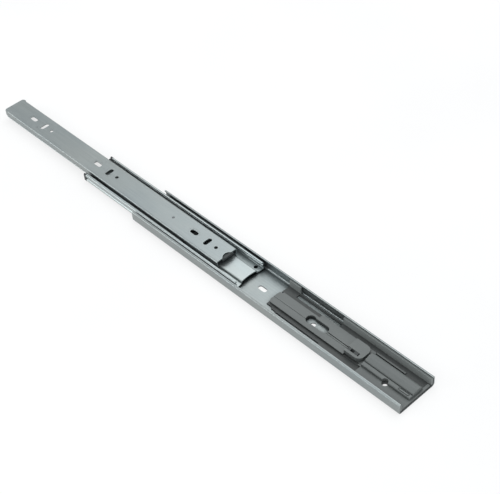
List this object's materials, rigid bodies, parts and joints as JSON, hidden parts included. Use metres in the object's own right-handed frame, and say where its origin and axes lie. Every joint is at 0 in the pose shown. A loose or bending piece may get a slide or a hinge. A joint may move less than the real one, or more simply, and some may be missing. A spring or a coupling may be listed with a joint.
{
  "type": "ball-bearing drawer slide",
  "caption": "Full-extension ball-bearing drawer slide: three nested steel rails on caged balls, with a soft-close catch unit and a release lever.",
  "frame": {"origin": "centre of the round fixing hole nearest the front of the cabinet rail, on the face that lies against the cabinet wall", "axes": "+X along the slide towards the front of the cabinet, the way the drawer opens; +Z from the cabinet wall towards the drawer side; +Y across the slide. It is stored lying flat on its cabinet face, part-extended"},
  "size_m": [0.581, 0.0454, 0.0127],
  "materials": {
    "zinc_steel": "bright zinc plate, satin with faint rolling lines",
    "damper_plastic": "dark grey moulded acetal",
    "black_plastic": "black moulded plastic",
    "bright_steel": "polished steel",
    "spring_steel": "drawn spring wire"
  },
  "bodies": {
    "cabinet": {"cabinet_rail": "zinc_steel", "damper_housing": "damper_plastic", "damper_cylinder": "damper_plastic", "closing_spring": "spring_steel"},
    "catch": {"catch_slider": "damper_plastic", "catch_pin": "bright_steel", "piston_rod": "bright_steel"},
    "hook": {"catch_hook": "black_plastic"},
    "outer_cages": {"outer_cage_near": "black_plastic", "outer_cage_far": "black_plastic", "outer_balls_near": "bright_steel", "outer_balls_far": "bright_steel"},
    "intermediate": {"intermediate_rail": "zinc_steel", "intermediate_bumper": "black_plastic"},
    "inner_cages": {"inner_cage_near": "black_plastic", "inner_cage_far": "black_plastic", "inner_balls_near": "bright_steel", "inner_balls_far": "bright_steel"},
    "drawer": {"drawer_rail": "zinc_steel", "drawer_rear_buffer": "black_plastic", "lever_rivet": "bright_steel", "striker": "zinc_steel", "striker_rivet": "bright_steel"},
    "lever": {"release_lever": "black_plastic"}
  },
  "joints": [
    {"name": "intermediate_slide", "type": "slide", "parent": "cabinet", "child": "intermediate", "axis": [1, 0, 0], "range_m": [-0.0795, 0.0505]},
    {"name": "drawer_slide", "type": "slide", "parent": "intermediate", "child": "drawer", "axis": [1, 0, 0], "range_m": [-0.15, 0.0685]},
    {"name": "outer_cage_slide", "type": "slide", "parent": "cabinet", "child": "outer_cages", "axis": [1, 0, 0], "range_m": [-0.04, 0.0255]},
    {"name": "inner_cage_slide", "type": "slide", "parent": "intermediate", "child": "inner_cages", "axis": [1, 0, 0], "range_m": [-0.0755, 0.0345]},
    {"name": "catch_slide", "type": "slide", "parent": "cabinet", "child": "catch", "axis": [1, 0, 0], "range_m": [0, 0.036], "stiffness_N_per_m": 120, "springref_m": -0.02, "deforming": ["closing_spring"]},
    {"name": "hook_tilt", "type": "hinge", "parent": "catch", "child": "hook", "pos_m": [-0.242, 0.0026, 0.0067], "axis": [0, 1, 0], "range_deg": [0, 5]},
    {"name": "lever_release", "type": "hinge", "parent": "drawer", "child": "lever", "pos_m": [0.1, 0.004, 0.0092], "axis": [0, 0, -1], "range_deg": [0, 5], "stiffness_Nm_per_rad": 0.05, "springref_deg": -5.73}
  ],
  "couplings": [
    {"joint": "outer_cage_slide", "follows": "intermediate_slide", "ratio": 0.5},
    {"joint": "inner_cage_slide", "follows": "drawer_slide", "ratio": 0.5},
    {"joint": "hook_tilt", "follows": "catch_slide", "rad_per_m": 2.4}
  ]
}
